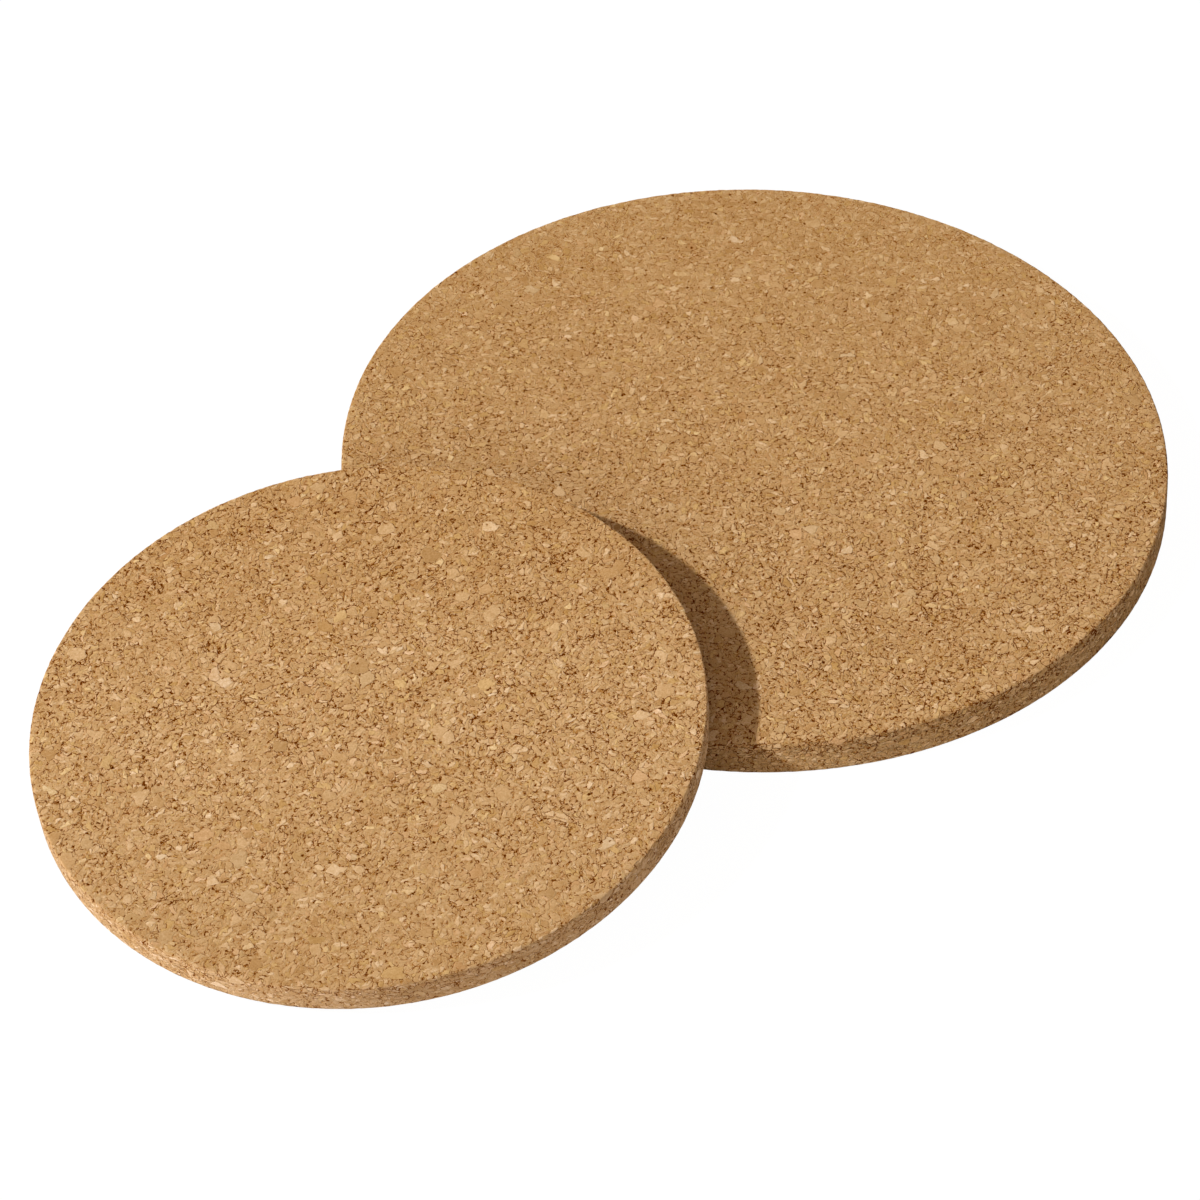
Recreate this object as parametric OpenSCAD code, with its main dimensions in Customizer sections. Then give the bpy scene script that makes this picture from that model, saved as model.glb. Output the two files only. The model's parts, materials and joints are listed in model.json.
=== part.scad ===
// A pair of round table mats for hot pans, pressed from cork granules: a large mat lying flat and a small one leaning on its rim

/* [Large mat] */
// Width across the large mat
large_diameter = 250; // [240:1:300]
// Thickness of the large mat
large_thickness = 12; // [9:0.5:16]
// How much narrower the large mat is at its top than at its foot, on each side
large_taper = 0.6; // [0:0.1:3]
// Rounding of the large mat's upper rim
large_top_edge = 0.8; // [0.4:0.1:4]
// Rounding of the large mat's lower rim
large_bottom_edge = 1.2; // [0.4:0.1:4]

/* [Small mat] */
// Width across the small mat
small_diameter = 190; // [160:1:200]
// Thickness of the small mat
small_thickness = 10; // [8:0.5:14]
// How much narrower the small mat is at its top than at its foot, on each side
small_taper = 0; // [0:0.1:3]
// Rounding of the small mat's upper rim
small_top_edge = 0.8; // [0.4:0.1:3.5]
// Rounding of the small mat's lower rim
small_bottom_edge = 1.2; // [0.4:0.1:3.5]

/* [Leaning] */
// How far the small mat's edge reaches in over the large mat
overlap = 59; // [40:1:80]
// Clearance between the two mats where one leans on the other
lean_gap = 0.3; // [0.1:0.1:0.5]

/* [Hidden] */

// Two round pieces don't need turning into facets: a round of many segments stays a true round
round_segments = 180;

// Number of halvings used to find the lean angle
lean_steps = 40;
// Steepest lean that is searched, in degrees
steepest_lean = 30;
// One half, the share taken at each halving
half_share = 0.5;
// How deep the ends of a wall sit inside the rounded rims, so that the two overlap
wall_seat = 0.001;

large_r = large_diameter * half_share;
small_r = small_diameter * half_share;

// Distance between the middles of the two undersides, seen from above
centre_distance = large_r + small_r - overlap;

// Height of the middle of the small mat's underside when its lower rim touches the table at a lean of a
function small_lift(a) =
    small_bottom_edge * (1 - cos(a)) + (small_r - small_bottom_edge) * sin(a);

// How far the large mat's rounded upper rim stands clear of the small mat's underside at a lean of a
function rim_clearance(a) =
    sin(a) * (centre_distance - large_r + large_taper + large_top_edge)
    + cos(a) * (small_lift(a) - large_thickness + large_top_edge)
    - large_top_edge - lean_gap;

// Halves the range of leans until the one with no clearance left is found
function find_lean(low, high, steps) =
    steps == 0
        ? (low + high) * half_share
        : rim_clearance((low + high) * half_share) < 0
            ? find_lean((low + high) * half_share, high, steps - 1)
            : find_lean(low, (low + high) * half_share, steps - 1);

lean_angle = find_lean(0, steepest_lean, lean_steps);
small_height = small_lift(lean_angle);

// Direction from a rim's own middle to the point where the sloping wall touches both rounded rims
function wall_turn(low, high, low_edge, high_edge) =
    atan2(high.y - low.y, high.x - low.x) - acos((low_edge - high_edge) / norm(high - low));

// Half of the outline of a round slab with a sloping wall between rounded rims, from its axis outward
module slab_outline(r, thickness, taper, top_edge, bottom_edge) {
    low = [r - bottom_edge, bottom_edge];
    high = [r - taper - top_edge, thickness - top_edge];
    turn = wall_turn(low, high, bottom_edge, top_edge);
    outward = [cos(turn), sin(turn)];
    polygon([
        [0, 0],
        [low.x, 0],
        low,
        low + (bottom_edge - wall_seat) * outward,
        high + (top_edge - wall_seat) * outward,
        high,
        [high.x, thickness],
        [0, thickness]
    ]);
    // the upper rim
    translate(high)
        circle(r = top_edge, $fn = round_segments);
    // the lower rim
    translate(low)
        circle(r = bottom_edge, $fn = round_segments);
}

// A round slab of pressed cork, its underside at height zero
module slab(r, thickness, taper, top_edge, bottom_edge) {
    rotate_extrude($fn = round_segments)
        intersection() {
            slab_outline(r, thickness, taper, top_edge, bottom_edge);
            square([r, thickness]);
        }
}

// The large mat, flat on the table
module large_trivet() {
    color("burlywood")
        slab(large_r, large_thickness, large_taper, large_top_edge, large_bottom_edge);
}

// The small mat, its far edge resting on the large mat's rim and its near edge on the table
module small_trivet() {
    color("tan")
        translate([-centre_distance, 0, small_height])
            rotate([0, -lean_angle, 0])
                slab(small_r, small_thickness, small_taper, small_top_edge, small_bottom_edge);
}

large_trivet();
small_trivet();
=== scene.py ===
import bpy
import json
import math
from mathutils import Matrix, Vector


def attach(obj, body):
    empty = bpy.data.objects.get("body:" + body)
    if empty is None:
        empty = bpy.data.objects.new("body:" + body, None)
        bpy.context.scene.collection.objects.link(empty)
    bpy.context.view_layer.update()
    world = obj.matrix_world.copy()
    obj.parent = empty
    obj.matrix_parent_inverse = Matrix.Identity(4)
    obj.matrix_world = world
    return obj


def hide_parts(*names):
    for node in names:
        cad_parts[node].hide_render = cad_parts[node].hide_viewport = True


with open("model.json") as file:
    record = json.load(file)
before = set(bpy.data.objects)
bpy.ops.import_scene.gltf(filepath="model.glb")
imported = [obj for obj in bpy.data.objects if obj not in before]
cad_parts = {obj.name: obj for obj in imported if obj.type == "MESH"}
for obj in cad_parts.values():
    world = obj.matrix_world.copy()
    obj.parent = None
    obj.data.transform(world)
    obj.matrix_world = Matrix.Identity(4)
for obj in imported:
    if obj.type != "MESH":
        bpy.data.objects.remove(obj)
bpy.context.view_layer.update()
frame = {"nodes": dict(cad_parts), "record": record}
print("frame loaded:", ", ".join(frame["nodes"]))

millimetre = 0.001
hair = 0.01 * millimetre  # slack for picking edges by their place


photoCamera = {
    "place": (-0.65205, -0.55787, 0.78433),
    "turn": (45.6517, 0.3185, -46.6398),  # degrees
    "lens": 114.619,
    "sensor": 36.0,
}


def addCamera(setup):
    turn = [math.radians(angle) for angle in setup["turn"]]
    bpy.ops.object.camera_add(location=setup["place"], rotation=turn)
    camera = bpy.context.object
    camera.name = "photoCamera"
    camera.data.lens = setup["lens"]
    camera.data.sensor_width = setup["sensor"]
    bpy.context.scene.camera = camera


addCamera(photoCamera)
print("camera placed")


def plug(tree, value, socket):
    if isinstance(value, bpy.types.NodeSocket):
        tree.links.new(value, socket)
    else:
        socket.default_value = value


def addNode(tree, kind, settings=None, **sockets):
    # a socket goes by its name, or by its number after an i
    made = tree.nodes.new(kind)
    for name, value in (settings or {}).items():
        setattr(made, name, value)
    for name, value in sockets.items():
        numbered = name[0] == "i" and name[1:].isdigit()
        key = int(name[1:]) if numbered else name.replace("_", " ")
        plug(tree, value, made.inputs[key])
    return made


def maths(tree, operation, first, second=0.0, clamp=False):
    settings = {"operation": operation, "use_clamp": clamp}
    return addNode(tree, "ShaderNodeMath", settings, i0=first, i1=second).outputs[0]


def times(tree, first, second, clamp=False):
    return maths(tree, "MULTIPLY", first, second, clamp)


def plus(tree, first, second):
    return maths(tree, "ADD", first, second)


def minus(tree, first, second, clamp=False):
    return maths(tree, "SUBTRACT", first, second, clamp)


def power(tree, first, second):
    return maths(tree, "POWER", first, second)


def vectorMaths(tree, operation, first, second):
    made = addNode(tree, "ShaderNodeVectorMath", {"operation": operation}, i0=first, i1=second)
    return made.outputs["Value" if operation == "DOT_PRODUCT" else "Vector"]


def blendNumber(tree, share, low, high):
    settings = {"data_type": "FLOAT"}
    return addNode(tree, "ShaderNodeMix", settings, i0=share, i2=low, i3=high).outputs[0]


def blendColour(tree, share, low, high, kind="MIX"):
    settings = {"data_type": "RGBA", "blend_type": kind}
    return addNode(tree, "ShaderNodeMix", settings, i0=share, i6=low, i7=high).outputs[2]


def ease(tree, value, low, high):
    settings = {"interpolation_type": "SMOOTHSTEP"}
    return addNode(tree, "ShaderNodeMapRange", settings, i0=value, i1=low, i2=high).outputs[0]


def easedShare(tree, value, span):
    low, high, share = span
    return times(tree, ease(tree, value, low, high), share)


def channels(tree, colour):
    return addNode(tree, "ShaderNodeSeparateColor", {}, i0=colour).outputs


def colourRamp(tree, value, stops):
    made = addNode(tree, "ShaderNodeValToRGB", {}, i0=value)
    ramp = made.color_ramp
    while len(ramp.elements) < len(stops):
        ramp.elements.new(0.5)
    for element, (place, colour) in zip(ramp.elements, stops):
        element.position = place
        element.color = (*colour, 1.0)
    return made.outputs[0]


def noise(tree, place, scale, detail=2.0, roughness=0.5):
    settings = {"noise_dimensions": "3D"}
    grain = {"Scale": scale, "Detail": detail, "Roughness": roughness}
    return addNode(tree, "ShaderNodeTexNoise", settings, Vector=place, **grain).outputs


def voronoi(tree, feature, place, size):
    settings = {"feature": feature}
    return addNode(tree, "ShaderNodeTexVoronoi", settings, Vector=place, Scale=1.0 / size).outputs


def finishTree(tree, kind, shader):
    tree.links.new(shader, addNode(tree, kind).inputs[0])


# lengths in mm, noise scales per mm
corkLook = {
    "flatness": 1.8,  # granules are pressed flat, this many times wider than high
    "warps": ((0.45, 1.3), (1.6, 0.26)),  # noise scale and reach
    "bigGranule": 3.9,
    "middleGranule": 2.3,
    "smallGranule": 1.05,
    "flakeStretch": (1.45, 0.52, 1.0),  # share of the size along each way of a flake
    "brokenBig": 0.94,  # share of big cells that are broken into smaller granules
    "brokenMiddle": 0.30,
    # the board is looser on one side than on the other, along this way, and texture shows more there
    "acrossBoard": (0.727, 0.687, 0.0),
    "loose": 1.20,
    "closerFar": (-50.0, 140.0, 0.31),  # from where to where along that way, and by how much
    "closerTip": (-110.0, -215.0, 0.21),
    "looserNear": (0.0, -75.0, 0.0),
    "handled": (-125.0, -35.0, 0.0),  # painted shade: darker along this way, a falloff of light toward the mat's far part
    # hues: by which of a granule's chance numbers, from where to where and how strongly, to which colour
    "cork": (0.538, 0.325, 0.133),
    "hues": (
        ("Green", (0.80, 0.98, 0.30), (0.575, 0.306, 0.124)),
        ("Green", (0.20, 0.02, 0.50), (0.565, 0.345, 0.104)),
        ("Blue", (0.975, 0.995, 0.40), (0.500, 0.328, 0.150)),
    ),
    # lightness of the granules
    "levels": ((0.00, 0.76), (0.15, 0.88), (0.40, 1.00), (0.70, 1.12), (0.90, 1.28), (1.00, 1.46)),
    "crumbLevels": 0.85,  # the smallest granules differ less, by this share
    "levelEdge": (-0.15, 0.42),  # how it comes in from a granule's edge
    "deepening": (0.62, 1.0, 1.72),  # darker cork is redder: how fast red, green and blue fall
    "brightness": 1.0,
    # grain and streaks along the flakes: stretch, detail, roughness, strength
    "grain": ((4.0, 0.9, 0.9), 3.0, 0.6, 0.40),
    "streaks": ((1.7, 0.5, 0.5), 2.0, 0.6, 0.42),
    "flakeMean": 0.41,
    "speckles": (2.1, 4.0, 0.72),  # noise scale, detail, roughness
    "speckleGrowth": 2.0,  # how fast they come out where the board is loose
    "speckleStrength": 0.82,
    "clouds": (0.32, 1.6, 1.12),  # noise scale, strength, how much of it goes where the board is loose
    "patches": (0.06, 0.10),  # noise scale, strength
    "plainLight": (0.24, 0.76),  # grows with looseness, starts at
    "plainPaint": (0.20, 0.76),
    # seams between granules, open here and pressed shut there; their darkening is partly painted shade in
    # the open gaps and partly the darker cork there
    "looseSpots": (0.85, 2.0, 0.6),
    "looseAreas": (0.10, 1.0),
    "looseAreaStrength": 0.22,
    "looseChips": 0.12,
    "tightWall": 0.02,
    "seamWidth": (0.42, 0.70, 0.09),  # from where to where in looseness, and what it adds
    # the crumbled upper wall opens more seams and hollows, with their painted shade
    "leastSeam": 0.050,
    "seamGrowth": 1.1,
    "seamGate": (0.38, 0.60),
    "seamSide": 0.7,  # share of its width over which a seam deepens
    "seamDepth": 0.90,
    "deepestSeam": 0.93,
    "seamTint": (1.12, 1.0, 0.70),  # what shows down in the seams and hollows, partly painted shade, is redder still
    "fineSeams": 0.45,  # seams of the smallest granules, as a share
    # dark hollows where the corners of several granules meet, partly painted shade in these recesses and
    # partly darker cork
    "hollowStart": (1.05, 1.23),
    "hollowLoose": 0.95,
    "hollowSpeckle": 0.35,
    "hollowDepth": 0.64,
    "hollowFree": 0.9,  # how free of them a big whole granule stays
    "depthGrowth": 1.2,  # how fast seams and hollows deepen where the board is loose
    # torn pits, darkened partly with painted shade and partly with the darker cork inside
    "torn": (1.7, 3.0, 0.7),
    "tornReach": 1.3,
    "pitSpacing": 2.6,
    "pitSize": (0.66, 1.0, 0.24),  # from where to where in the pit's chance number, and what it adds
    "leastPit": 0.001,
    "pitSide": 0.55,
    "pitDepth": 0.92,
    # the cut wall
    "wallTint": (0.440, 0.278, 0.145),
    "wallShare": 0.0,
    "wallLight": 1.0,  # painted light: the wall's colour is made paler, standing in for more light falling on it
    "wallRelief": 0.0,  # how much rougher it is than the faces
    # the surface: every granule stands up a little, rounded toward its seams
    "granuleSide": 0.34,
    "sideHeight": 0.40,
    "granuleHeight": 0.22,
    "speckleHeight": 0.45,
    "darkDepth": 0.60,
    "relief": 0.35,
    "reliefStrength": 0.8,
    "roughness": (0.2, 0.74),  # grows with the speckles, starts at
    "shine": 0.07,
}

halfway = 0.5  # a noise's mean


def wander(tree, place, look):
    # the granules' outlines wander
    wandering = vectorMaths(tree, "MULTIPLY", place, (1.0, 1.0, look["flatness"]))
    for scale, reach in look["warps"]:
        drift = vectorMaths(tree, "SUBTRACT", noise(tree, place, scale)["Color"], (halfway,) * 3)
        drift = vectorMaths(tree, "MULTIPLY", drift, (2.0 * reach,) * 3)
        wandering = vectorMaths(tree, "ADD", wandering, drift)
    return wandering


def granules(tree, place, size):
    cell = voronoi(tree, "F1", place, size)
    edge = voronoi(tree, "DISTANCE_TO_EDGE", place, size)
    return cell, channels(tree, cell["Color"]), times(tree, edge["Distance"], size)


def breakUp(tree, wandering, look):
    # most big granules are broken into flakes, and some of the flakes into crumbs
    bigCell, bigChance, bigEdge = granules(tree, wandering, look["bigGranule"])
    # each patch of flakes lies its own way
    axis = vectorMaths(tree, "SUBTRACT", bigCell["Color"], (halfway, halfway, 0.0))
    angle = times(tree, bigChance["Green"], 2.0 * math.pi)
    settings = {"rotation_type": "AXIS_ANGLE"}
    turned = addNode(tree, "ShaderNodeVectorRotate", settings, Vector=wandering, Axis=axis, Angle=angle)
    flaky = vectorMaths(tree, "DIVIDE", turned.outputs[0], look["flakeStretch"])
    middleCell, middleChance, middleEdge = granules(tree, flaky, look["middleGranule"])
    smallCell, smallChance, smallEdge = granules(tree, wandering, look["smallGranule"])

    wholeBig = maths(tree, "GREATER_THAN", bigChance["Blue"], look["brokenBig"])
    wholeMiddle = maths(tree, "GREATER_THAN", middleChance["Blue"], look["brokenMiddle"])
    whole = maths(tree, "MAXIMUM", wholeMiddle, wholeBig)
    chosen = blendColour(tree, wholeMiddle, smallCell["Color"], middleCell["Color"])
    chosen = blendColour(tree, wholeBig, chosen, bigCell["Color"])
    coarseEdge = blendNumber(tree, wholeBig, maths(tree, "MINIMUM", middleEdge, bigEdge), bigEdge)
    fineEdge = plus(tree, smallEdge, whole)
    return {
        "flaky": flaky,
        "wholeBig": wholeBig,
        "whole": whole,
        "chance": channels(tree, chosen),
        "coarseEdge": coarseEdge,
        "fineEdge": fineEdge,
        "edge": maths(tree, "MINIMUM", coarseEdge, fineEdge),
        "fromMiddle": middleCell["Distance"],
    }


def looseness(tree, along, look):
    crisp = minus(tree, look["loose"], easedShare(tree, along, look["closerFar"]))
    crisp = minus(tree, crisp, easedShare(tree, along, look["closerTip"]))
    return plus(tree, crisp, easedShare(tree, along, look["looserNear"]))


def granuleColour(tree, chance, look):
    colour = (*look["cork"], 1.0)
    for channel, span, hue in look["hues"]:
        colour = blendColour(tree, easedShare(tree, chance[channel], span), colour, (*hue, 1.0))
    return colour


def alongFlakes(tree, flaky, setup):
    stretch, detail, roughness, strength = setup
    stretched = vectorMaths(tree, "MULTIPLY", flaky, stretch)
    return times(tree, noise(tree, stretched, 1.0, detail, roughness)["Fac"], strength)


def mottling(tree, place, crisp, speckles, flaky, look):
    grain = alongFlakes(tree, flaky, look["grain"])
    streaks = alongFlakes(tree, flaky, look["streaks"])
    mottle = times(tree, minus(tree, plus(tree, grain, streaks), look["flakeMean"]), crisp)
    fine = times(tree, minus(tree, speckles, halfway), power(tree, crisp, look["speckleGrowth"]))
    mottle = plus(tree, mottle, times(tree, fine, look["speckleStrength"]))
    scale, strength, lost = look["clouds"]
    clouds = minus(tree, noise(tree, place, scale)["Fac"], halfway)
    clouds = times(tree, clouds, minus(tree, strength, times(tree, crisp, lost)))
    scale, strength = look["patches"]
    patches = times(tree, noise(tree, place, scale)["Fac"], strength)
    return plus(tree, plus(tree, mottle, clouds), patches)


def ownLevel(tree, board, look):
    # the ramp holds half of each level, because its colours stop at 1
    stops = [(at, (level / 2.0,) * 3) for at, level in look["levels"]]
    level = times(tree, colourRamp(tree, board["chance"]["Red"], stops), 2.0)
    share = maths(tree, "MAXIMUM", board["whole"], look["crumbLevels"])
    share = times(tree, share, ease(tree, board["edge"], *look["levelEdge"]))
    return blendNumber(tree, share, 1.0, level)


def openSpots(tree, place, wall, chipped, look):
    loose = noise(tree, place, *look["looseSpots"])["Fac"]
    areas = minus(tree, noise(tree, place, *look["looseAreas"])["Fac"], halfway)
    loose = plus(tree, loose, times(tree, areas, look["looseAreaStrength"]))
    loose = plus(tree, loose, times(tree, chipped, look["looseChips"]))
    return minus(tree, loose, times(tree, wall, look["tightWall"]))


def openSeams(tree, loose, crisp, board, look):
    width = plus(tree, easedShare(tree, loose, look["seamWidth"]), look["leastSeam"])
    width = times(tree, width, power(tree, crisp, look["seamGrowth"]))
    gate = ease(tree, loose, *look["seamGate"])
    seams = []
    for edge in (board["coarseEdge"], board["fineEdge"]):
        line = minus(tree, 1.0, maths(tree, "DIVIDE", edge, width), clamp=True)
        seams.append(times(tree, ease(tree, line, 0.0, look["seamSide"]), gate))
    seam = maths(tree, "MAXIMUM", seams[0], times(tree, seams[1], look["fineSeams"]))
    seam = times(tree, seam, look["seamDepth"])
    return times(tree, seam, power(tree, crisp, look["depthGrowth"]))


def darkHollows(tree, loose, crisp, speckles, board, look):
    spots = times(tree, minus(tree, loose, halfway), look["hollowLoose"])
    corner = plus(tree, board["fromMiddle"], spots)
    corner = plus(tree, corner, times(tree, minus(tree, speckles, halfway), look["hollowSpeckle"]))
    hollow = ease(tree, corner, *look["hollowStart"])
    hollow = times(tree, hollow, minus(tree, 1.0, times(tree, board["wholeBig"], look["hollowFree"])))
    hollow = times(tree, hollow, look["hollowDepth"])
    return times(tree, hollow, power(tree, crisp, look["depthGrowth"]), clamp=True)


def tornPits(tree, place, look):
    drift = noise(tree, place, *look["torn"])["Color"]
    torn = vectorMaths(tree, "ADD", place, vectorMaths(tree, "MULTIPLY", drift, (look["tornReach"],) * 3))
    cell = voronoi(tree, "F1", torn, look["pitSpacing"])
    size = easedShare(tree, channels(tree, cell["Color"])["Red"], look["pitSize"])
    size = plus(tree, size, look["leastPit"])
    pit = minus(tree, 1.0, maths(tree, "DIVIDE", cell["Distance"], size), clamp=True)
    return times(tree, ease(tree, pit, 0.0, look["pitSide"]), look["pitDepth"])


def surface(tree, wall, crisp, speckles, dark, board, look):
    height = times(tree, ease(tree, board["edge"], 0.0, look["granuleSide"]), look["sideHeight"])
    height = plus(tree, height, times(tree, board["chance"]["Red"], look["granuleHeight"]))
    height = plus(tree, height, times(tree, speckles, look["speckleHeight"]))
    height = minus(tree, height, times(tree, dark, look["darkDepth"]))
    rougher = times(tree, wall, look["wallRelief"] * millimetre)
    depth = plus(tree, look["relief"] * millimetre, rougher)
    strength = times(tree, crisp, look["reliefStrength"])
    settings = {"Strength": strength, "Distance": depth, "Height": height}
    return addNode(tree, "ShaderNodeBump", {}, **settings).outputs[0]


def corkMaterial(name, look):
    material = bpy.data.materials.new(name)
    material.use_nodes = True
    tree = material.node_tree
    tree.nodes.clear()
    coordinates = addNode(tree, "ShaderNodeTexCoord").outputs["Object"]
    settings = {"operation": "SCALE"}
    scaled = addNode(tree, "ShaderNodeVectorMath", settings, i0=coordinates, i3=1.0 / millimetre)
    place = scaled.outputs[0]
    wall = addNode(tree, "ShaderNodeAttribute", {"attribute_name": "wall"}).outputs["Fac"]
    chipped = addNode(tree, "ShaderNodeAttribute", {"attribute_name": "chipped"}).outputs["Fac"]

    board = breakUp(tree, wander(tree, place, look), look)
    along = vectorMaths(tree, "DOT_PRODUCT", place, look["acrossBoard"])
    crisp = looseness(tree, along, look)
    speckles = noise(tree, place, *look["speckles"])["Fac"]

    # how light the cork is before its seams, hollows and pits
    growth, start = look["plainLight"]
    plain = plus(tree, times(tree, crisp, growth), start)
    light = plus(tree, mottling(tree, place, crisp, speckles, board["flaky"], look), plain)
    light = times(tree, light, look["brightness"])
    # painted shade: the cork darkens toward the mat's far part, where less light falls on it
    light = times(tree, light, minus(tree, 1.0, easedShare(tree, along, look["handled"])))
    light = times(tree, light, ownLevel(tree, board, look))

    loose = openSpots(tree, place, wall, chipped, look)
    opened = openSeams(tree, loose, crisp, board, look)
    hollows = darkHollows(tree, loose, crisp, speckles, board, look)
    dark = maths(tree, "MAXIMUM", hollows, tornPits(tree, place, look))
    # painted shade: hollows, pits and open seams darken the cork, partly as shade in these recesses and
    # partly as the darker cork in them
    light = times(tree, light, minus(tree, 1.0, dark))
    light = times(tree, light, minus(tree, 1.0, maths(tree, "MINIMUM", opened, look["deepestSeam"])))

    colour = granuleColour(tree, board["chance"], look)
    colour = blendColour(tree, times(tree, wall, look["wallShare"]), colour, (*look["wallTint"], 1.0))
    growth, start = look["plainPaint"]
    # painted light: the walls are painted paler by their own factor
    paint = blendNumber(tree, wall, 1.0, look["wallLight"])
    paint = times(tree, paint, plus(tree, times(tree, crisp, growth), start))
    red, green, blue = [times(tree, power(tree, light, fall), paint) for fall in look["deepening"]]
    deepened = addNode(tree, "ShaderNodeCombineColor", {}, i0=red, i1=green, i2=blue).outputs[0]
    colour = blendColour(tree, 1.0, colour, deepened, "MULTIPLY")
    # the painted shade in seams, hollows and pits is made redder
    inside = maths(tree, "MAXIMUM", maths(tree, "MINIMUM", opened, 1.0), dark)
    colour = blendColour(tree, inside, colour, (*look["seamTint"], 1.0), "MULTIPLY")

    growth, start = look["roughness"]
    rough = plus(tree, times(tree, speckles, growth), start)
    shine = times(tree, light, look["shine"])  # none down in the seams
    bump = surface(tree, wall, crisp, speckles, dark, board, look)
    finish = {"Roughness": rough, "Specular_IOR_Level": shine, "Normal": bump}
    skin = addNode(tree, "ShaderNodeBsdfPrincipled", {}, Base_Color=colour, Diffuse_Roughness=1.0, **finish)
    finishTree(tree, "ShaderNodeOutputMaterial", skin.outputs[0])
    return material


largeMat = {
    "node": "large_trivet",
    "body": "large_trivet",
    "slot": "large_cork",
    "name": "largeCorkMat",
    "radius": 0.125,
    "thickness": 0.012,
    "taper": 0.0006,  # how much narrower it is at the top, on each side
    "topEdge": 0.0008,
    "bottomEdge": 0.0012,
    "around": 960,
    "wallRows": 11,
    "chips": 0.32,  # deepest bite out of the upper edge in mm
    "look": dict(
        corkLook,
        looserNear=(0.0, -75.0, 0.10),
        brightness=1.035,
        wallLight=1.15,
        wallRelief=0.5,
    ),
}

smallMat = {
    "node": "small_trivet",
    "body": "small_trivet",
    "slot": "small_cork",
    "name": "smallCorkMat",
    "radius": 0.095,
    "thickness": 0.010,
    "taper": 0.0,
    "topEdge": 0.0008,
    "bottomEdge": 0.0012,
    "around": 960,
    "wallRows": 11,
    "chips": 0.30,
    "look": dict(
        corkLook,
        looserNear=(0.0, -75.0, 0.04),
        handled=(-125.0, -35.0, 0.12),
        brightness=1.12,
        wallShare=0.45,
        wallLight=1.22,
        wallRelief=0.1,
    ),
}

slabShape = {
    "rimSteps": 4,
    "rimProfile": 0.5,  # a true round
    "ringInset": 1.6 * millimetre,
    "ringLift": 1.0 * millimetre,
    "wallBlend": 1.2 * millimetre,  # below the upper edge, where the wall's own look is full
    "biteReach": 1.6 * millimetre,
    "chippedMost": 1.5 * millimetre,  # how far down the wall is most chipped, and where that ends
    "chippedEnd": 7.0 * millimetre,
}


def pickEdges(mesh, test):
    places = [v.co for v in mesh.vertices]
    for v in mesh.vertices:
        v.select = False
    for f in mesh.polygons:
        f.select = False
    for e in mesh.edges:
        e.select = test(places[e.vertices[0]], places[e.vertices[1]])
        if e.select:
            mesh.vertices[e.vertices[0]].select = True
            mesh.vertices[e.vertices[1]].select = True


def editOn(slab, test):
    bpy.ops.object.mode_set(mode="OBJECT")
    pickEdges(slab.data, test)
    bpy.ops.object.mode_set(mode="EDIT")


def wallLine(mat):
    # a straight wall that touches both rounded rims
    radius, thickness = mat["radius"], mat["thickness"]
    topEdge, bottomEdge = mat["topEdge"], mat["bottomEdge"]
    low = Vector((radius - bottomEdge, bottomEdge))
    high = Vector((radius - mat["taper"] - topEdge, thickness - topEdge))
    rise = high - low
    turn = math.atan2(rise.y, rise.x) - math.acos((bottomEdge - topEdge) / rise.length)
    outward = Vector((math.cos(turn), math.sin(turn)))
    reach = outward.dot(low) + bottomEdge
    # where it would meet the two flat faces, and how far inside those places the rounds begin
    foot = reach / outward.x
    top = (reach - outward.y * thickness) / outward.x
    return foot, top, foot - low.x, top - high.x


def cutRows(low, high, rows):
    for cut in range(1, rows + 1):
        height = low + (high - low) * cut / (rows + 1.0)
        bpy.ops.mesh.select_all(action="SELECT")
        bpy.ops.mesh.bisect(plane_co=(0.0, 0.0, height), plane_no=(0.0, 0.0, 1.0))


def openFaces(slab):
    bpy.ops.mesh.select_mode(type="FACE")
    bpy.ops.mesh.select_all(action="DESELECT")
    bpy.ops.object.mode_set(mode="OBJECT")
    # only the two flat faces have more than four corners
    for f in slab.data.polygons:
        f.select = len(f.vertices) > 4
    bpy.ops.object.mode_set(mode="EDIT")
    bpy.ops.mesh.delete(type="ONLY_FACE")
    bpy.ops.mesh.select_mode(type="EDGE")


def fillTop(slab, mat, rimRadius):
    inside = rimRadius - 10 * hair
    height = mat["thickness"] - hair
    editOn(slab, lambda a, b: min(a.z, b.z) > height and min(a.xy.length, b.xy.length) > inside)
    bpy.ops.mesh.fill_grid(span=mat["around"] // 4)


def fillUnderside(slab, mat, rimRadius):
    # wider squares here: the ring that halves their number is bridged from above, then pressed flat
    lift = slabShape["ringLift"]
    ring = rimRadius - slabShape["ringInset"]

    def onRing(a):
        return abs(a.xy.length - ring) < 10 * hair and abs(a.z - lift) < hair

    bpy.ops.mesh.select_all(action="DESELECT")
    bpy.ops.mesh.primitive_circle_add(vertices=mat["around"] // 2, radius=ring, location=(0.0, 0.0, lift))
    editOn(slab, lambda a, b: max(a.z, b.z) < hair or onRing(a) and onRing(b))
    bpy.ops.mesh.bridge_edge_loops()
    editOn(slab, lambda a, b: onRing(a) and onRing(b))
    bpy.ops.transform.translate(value=(0.0, 0.0, -lift))
    outside = ring + 10 * hair
    editOn(slab, lambda a, b: max(a.z, b.z) < hair and max(a.xy.length, b.xy.length) < outside)
    bpy.ops.mesh.fill_grid(span=mat["around"] // 8)


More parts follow.
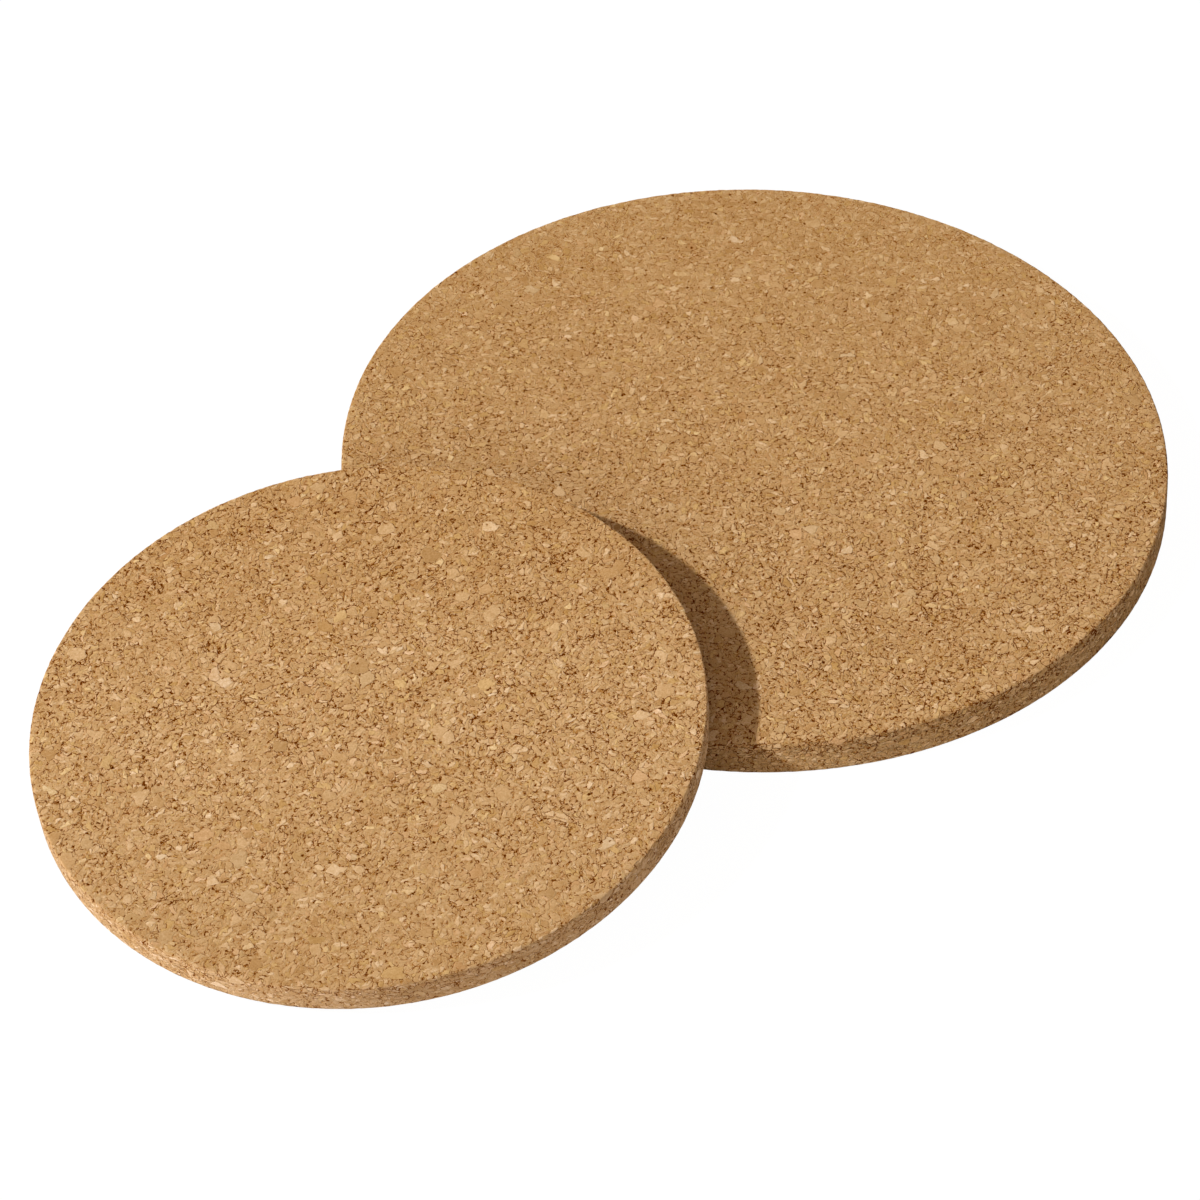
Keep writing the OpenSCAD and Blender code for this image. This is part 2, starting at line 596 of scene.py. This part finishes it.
def makeSlab(mat):
    around, thickness = mat["around"], mat["thickness"]
    rim = {"segments": slabShape["rimSteps"], "profile": slabShape["rimProfile"], "affect": "EDGES"}
    foot, top, bottomRim, topRim = wallLine(mat)
    middle = (0.0, 0.0, thickness / 2.0)
    bpy.ops.object.select_all(action="DESELECT")
    bpy.ops.mesh.primitive_cylinder_add(vertices=around, radius=foot, depth=thickness, location=middle)
    slab = bpy.context.object
    slab.name = mat["name"]
    slab.data.name = mat["name"]
    bpy.ops.object.transform_apply(location=True, rotation=True, scale=True)
    bpy.ops.object.mode_set(mode="EDIT")
    bpy.ops.mesh.select_mode(type="EDGE")

    # the top a little narrower than the foot, then both rims rounded
    narrower = (top / foot, top / foot, 1.0)
    editOn(slab, lambda a, b: min(a.z, b.z) > thickness - hair)
    bpy.ops.transform.resize(value=narrower, center_override=(0.0, 0.0, thickness))
    bpy.ops.mesh.bevel(offset=topRim, **rim)
    editOn(slab, lambda a, b: max(a.z, b.z) < hair)
    bpy.ops.mesh.bevel(offset=bottomRim, **rim)
    cutRows(mat["bottomEdge"], thickness - mat["topEdge"], mat["wallRows"])

    # even squares in place of the two big flat faces
    openFaces(slab)
    fillTop(slab, mat, top - topRim)
    fillUnderside(slab, mat, foot - bottomRim)
    bpy.ops.mesh.select_all(action="SELECT")
    bpy.ops.mesh.normals_make_consistent(inside=False)
    bpy.ops.object.mode_set(mode="OBJECT")
    print(mat["name"], "has", len(slab.data.polygons), "faces")
    return slab


def markWall(slab, mat):
    # the wall was cut and sanded, and its upper edge has crumbled; the wall mask also carries the walls'
    # painted light, and the chipped mask more painted shade in seams and hollows
    walls, chips, bites = [], [], []
    edgeRadius = mat["radius"] - mat["taper"] - mat["topEdge"]
    for v in slab.data.vertices:
        out, below = v.co.xy.length, mat["thickness"] - v.co.z
        onWall = out > edgeRadius + hair and v.co.z > hair
        fromEdge = below if onWall else edgeRadius - out
        rising = min(1.0, below / slabShape["chippedMost"])
        fading = max(0.0, 1.0 - below / slabShape["chippedEnd"])
        walls.append(min(1.0, below / slabShape["wallBlend"]) if onWall else 0.0)
        chips.append(rising * fading if onWall else 0.0)
        bites.append(max(0.0, 1.0 - fromEdge / slabShape["biteReach"]))
    slab.data.attributes.new("wall", "FLOAT", "POINT").data.foreach_set("value", walls)
    slab.data.attributes.new("chipped", "FLOAT", "POINT").data.foreach_set("value", chips)
    crumbled = slab.vertex_groups.new(name="crumbled")
    for index, share in enumerate(bites):
        if share > 0.0:
            crumbled.add([index], share, "REPLACE")


# texture, its size, how deep it cuts in mm
relief = {
    "lumps": ("CLOUDS", 0.0024, 0.10),
    "cells": ("VORONOI", 0.0019, 0.09),
}
biteTexture = ("CLOUDS", 0.0016)


def cutInto(slab, name, kind, size, depth, where=""):
    texture = bpy.data.textures.new(slab.name + name.capitalize(), type=kind)
    texture.noise_scale = size
    cut = slab.modifiers.new(name, "DISPLACE")
    cut.texture = texture
    cut.texture_coords = "LOCAL"
    cut.direction = "NORMAL"
    cut.vertex_group = where
    cut.mid_level = 1.0  # inward only
    cut.strength = depth * millimetre
    bpy.context.view_layer.objects.active = slab
    bpy.ops.object.modifier_apply(modifier=cut.name)


def roughen(slab, mat):
    for name, (kind, size, depth) in relief.items():
        cutInto(slab, name, kind, size, depth)
    cutInto(slab, "bites", *biteTexture, mat["chips"], "crumbled")


def settle(slab, placement):
    slab.matrix_world = placement
    bpy.ops.object.select_all(action="DESELECT")
    slab.select_set(True)
    bpy.context.view_layer.objects.active = slab
    bpy.ops.object.transform_apply(location=True, rotation=True, scale=True)
    bpy.ops.object.shade_smooth()


def leaning(mat):
    # the small mat's top and its lean come from the model's own mount
    mount = [m for m in frame["record"]["mounts"] if m["name"] == "small_pan_face"][0]
    top, up = Vector(mount["pos_m"]), Vector(mount["axis"]).normalized()
    foot = top - up * mat["thickness"]
    side = Vector((0.0, 1.0, 0.0))
    turn = Matrix((side.cross(up), side, up)).transposed().to_4x4()
    return Matrix.Translation(foot) @ turn


for mat, placement in ((largeMat, Matrix.Identity(4)), (smallMat, leaning(smallMat))):
    slab = makeSlab(mat)
    markWall(slab, mat)
    roughen(slab, mat)
    settle(slab, placement)
    slab.data.materials.clear()
    slab.data.materials.append(corkMaterial(mat["name"] + "Cork", mat["look"]))
    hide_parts(mat["node"])
    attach(slab, mat["body"])
print("both mats made")


studio = {
    "lamps": {
        # degrees round from +X, degrees above the table, metres away, metres across, watts
        "keyLamp": (149.4, 39.0, 2.6, 0.11, 58.0),
        "softLamp": (188.0, 24.0, 2.6, 1.20, 9.0),
    },
    "floorSize": 12.0,
    "floorPaint": (0.85, 0.85, 0.85),
    "floorShare": 0.955,  # share of the floor that is plain white to the camera
    "floorWhite": 1.03,
    "floorGlow": 0.02,
    "fill": 0.41,
    "fillTint": (1.0, 0.82, 0.68),
}

pureWhite = (1.0, 1.0, 1.0, 1.0)


def addLamp(name, turn, height, distance, size, watts):
    turn, height = math.radians(turn), math.radians(height)
    level = math.cos(height)
    toward = Vector((level * math.cos(turn), level * math.sin(turn), math.sin(height)))
    facing = toward.to_track_quat("Z", "Y").to_euler()
    bpy.ops.object.light_add(type="AREA", location=toward * distance, rotation=facing)
    lamp = bpy.context.object
    lamp.name = name
    lamp.data.shape = "DISK"
    lamp.data.size = size
    lamp.data.energy = watts


def addFloor(setup):
    bpy.ops.object.select_all(action="DESELECT")
    bpy.ops.mesh.primitive_plane_add(size=setup["floorSize"], location=(0.0, 0.0, -hair))
    floor = bpy.context.object
    floor.name = "paleTable"
    material = bpy.data.materials.new("paleTable")
    material.use_nodes = True
    tree = material.node_tree
    tree.nodes.clear()
    seen = addNode(tree, "ShaderNodeLightPath").outputs["Is Camera Ray"]
    paint = addNode(tree, "ShaderNodeBsdfDiffuse", {}, Color=(*setup["floorPaint"], 1.0))
    white = addNode(tree, "ShaderNodeEmission", {}, Color=pureWhite, Strength=setup["floorWhite"])
    mixed = addNode(tree, "ShaderNodeMixShader", {}, i0=times(tree, seen, setup["floorShare"]))
    tree.links.new(paint.outputs[0], mixed.inputs[1])
    tree.links.new(white.outputs[0], mixed.inputs[2])
    # the bright table throws light back on the walls
    strength = blendNumber(tree, seen, setup["floorGlow"], 0.0)
    glow = addNode(tree, "ShaderNodeEmission", {}, Color=pureWhite, Strength=strength)
    both = addNode(tree, "ShaderNodeAddShader")
    tree.links.new(mixed.outputs[0], both.inputs[0])
    tree.links.new(glow.outputs[0], both.inputs[1])
    finishTree(tree, "ShaderNodeOutputMaterial", both.outputs[0])
    floor.data.materials.append(material)


def addWorld(setup):
    world = bpy.data.worlds.new("studio")
    bpy.context.scene.world = world
    world.use_nodes = True
    tree = world.node_tree
    tree.nodes.clear()
    seen = addNode(tree, "ShaderNodeLightPath").outputs["Is Camera Ray"]
    strength = blendNumber(tree, seen, setup["fill"], 1.0)
    tint = blendColour(tree, seen, (*setup["fillTint"], 1.0), pureWhite)
    sky = addNode(tree, "ShaderNodeBackground", {}, Color=tint, Strength=strength)
    finishTree(tree, "ShaderNodeOutputWorld", sky.outputs[0])


for name, setup in studio["lamps"].items():
    addLamp(name, *setup)
addFloor(studio)
addWorld(studio)
bpy.context.scene.view_settings.view_transform = "Standard"
print("studio lit")
